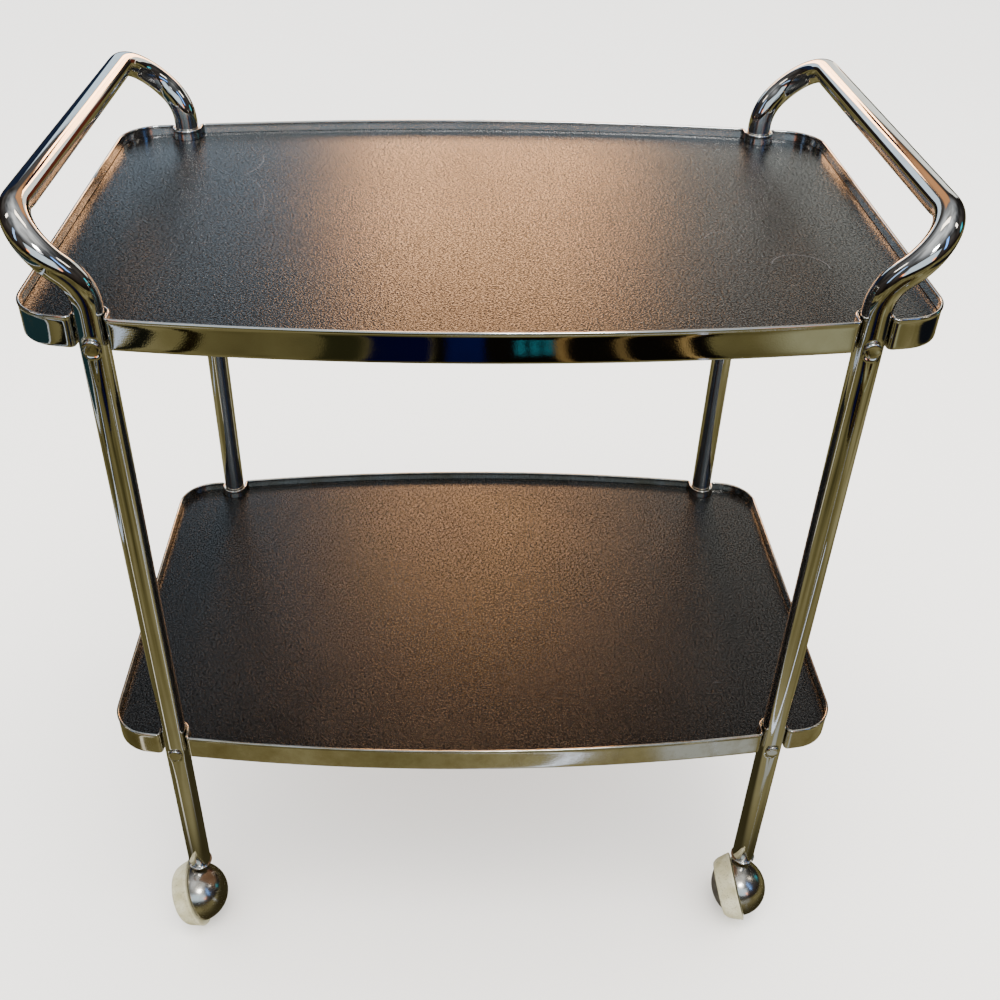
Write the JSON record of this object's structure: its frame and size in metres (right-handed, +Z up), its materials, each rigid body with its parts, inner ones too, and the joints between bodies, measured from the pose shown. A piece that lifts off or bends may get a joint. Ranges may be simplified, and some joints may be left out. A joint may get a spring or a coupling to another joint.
{
  "type": "serving trolley",
  "caption": "Two-tier serving trolley: bent chromed tube ends with hand grips, bowed trays with raised chrome rims and black panels, and swivelling ball casters.",
  "frame": {"origin": "on the floor, at the middle of the trolley's length and width", "axes": "+X along the trolley's length towards the right grip, +Y to the back, +Z up"},
  "size_m": [0.6858, 0.4848, 0.7811],
  "materials": {
    "chrome_plate": "polished chrome plate, lightly worn",
    "black_laminate": "black laminate with a fine leather grain, satin",
    "board": "bare hardboard edge and underside",
    "zinc_steel": "zinc-plated steel",
    "brass": "yellow plated steel, brass coloured",
    "cream_tyre": "cream-white rubber, slightly grubby",
    "hub_plastic": "grey moulded nylon",
    "cap_steel": "dull dark metal disc"
  },
  "bodies": {
    "frame": {"back_left_socket": "chrome_plate", "back_right_socket": "chrome_plate", "front_left_socket": "chrome_plate", "front_right_socket": "chrome_plate", "left_end_tube": "chrome_plate", "lower_left_rail": "zinc_steel", "lower_rail_screws": "zinc_steel", "lower_right_rail": "zinc_steel", "lower_tray_board": "board", "lower_tray_bolts": "chrome_plate", "lower_tray_laminate": "black_laminate", "lower_tray_rim": "chrome_plate", "lower_weld_nuts": "zinc_steel", "right_end_tube": "chrome_plate", "upper_left_rail": "zinc_steel", "upper_rail_screws": "zinc_steel", "upper_right_rail": "zinc_steel", "upper_tray_board": "board", "upper_tray_bolts": "chrome_plate", "upper_tray_laminate": "black_laminate", "upper_tray_rim": "chrome_plate", "upper_weld_nuts": "zinc_steel"},
    "front_left_caster": {"front_left_stem": "brass", "front_left_grip_ring": "zinc_steel", "front_left_hood": "chrome_plate", "front_left_axle": "zinc_steel"},
    "front_left_wheel": {"front_left_hub": "hub_plastic", "front_left_tyre": "cream_tyre", "front_left_hub_cap": "cap_steel"},
    "front_right_caster": {"front_right_stem": "brass", "front_right_grip_ring": "zinc_steel", "front_right_hood": "chrome_plate", "front_right_axle": "zinc_steel"},
    "front_right_wheel": {"front_right_hub": "hub_plastic", "front_right_tyre": "cream_tyre", "front_right_hub_cap": "cap_steel"},
    "back_left_caster": {"back_left_stem": "brass", "back_left_grip_ring": "zinc_steel", "back_left_hood": "chrome_plate", "back_left_axle": "zinc_steel"},
    "back_left_wheel": {"back_left_hub": "hub_plastic", "back_left_tyre": "cream_tyre", "back_left_hub_cap": "cap_steel"},
    "back_right_caster": {"back_right_stem": "brass", "back_right_grip_ring": "zinc_steel", "back_right_hood": "chrome_plate", "back_right_axle": "zinc_steel"},
    "back_right_wheel": {"back_right_hub": "hub_plastic", "back_right_tyre": "cream_tyre", "back_right_hub_cap": "cap_steel"}
  },
  "joints": [
    {"name": "front_left_swivel", "type": "hinge", "parent": "frame", "child": "front_left_caster", "pos_m": [-0.283, -0.193, 0.06708], "axis": [0, 0, 1], "continuous": true},
    {"name": "front_left_roll", "type": "hinge", "parent": "front_left_caster", "child": "front_left_wheel", "pos_m": [-0.28543, -0.20814, 0.03308], "axis": [-0.9495, -0.0998, -0.2974], "continuous": true},
    {"name": "front_right_swivel", "type": "hinge", "parent": "frame", "child": "front_right_caster", "pos_m": [0.283, -0.193, 0.06708], "axis": [0, 0, 1], "continuous": true},
    {"name": "front_right_roll", "type": "hinge", "parent": "front_right_caster", "child": "front_right_wheel", "pos_m": [0.27849, -0.20765, 0.03308], "axis": [-0.9542, 0.0333, -0.2974], "continuous": true},
    {"name": "back_left_swivel", "type": "hinge", "parent": "frame", "child": "back_left_caster", "pos_m": [-0.283, 0.193, 0.06708], "axis": [0, 0, 1], "continuous": true},
    {"name": "back_left_roll", "type": "hinge", "parent": "back_left_caster", "child": "back_left_wheel", "pos_m": [-0.27849, 0.20765, 0.03308], "axis": [0.9542, -0.0333, -0.2974], "continuous": true},
    {"name": "back_right_swivel", "type": "hinge", "parent": "frame", "child": "back_right_caster", "pos_m": [0.283, 0.193, 0.06708], "axis": [0, 0, 1], "continuous": true},
    {"name": "back_right_roll", "type": "hinge", "parent": "back_right_caster", "child": "back_right_wheel", "pos_m": [0.28543, 0.20814, 0.03308], "axis": [0.9495, 0.0998, -0.2974], "continuous": true}
  ]
}
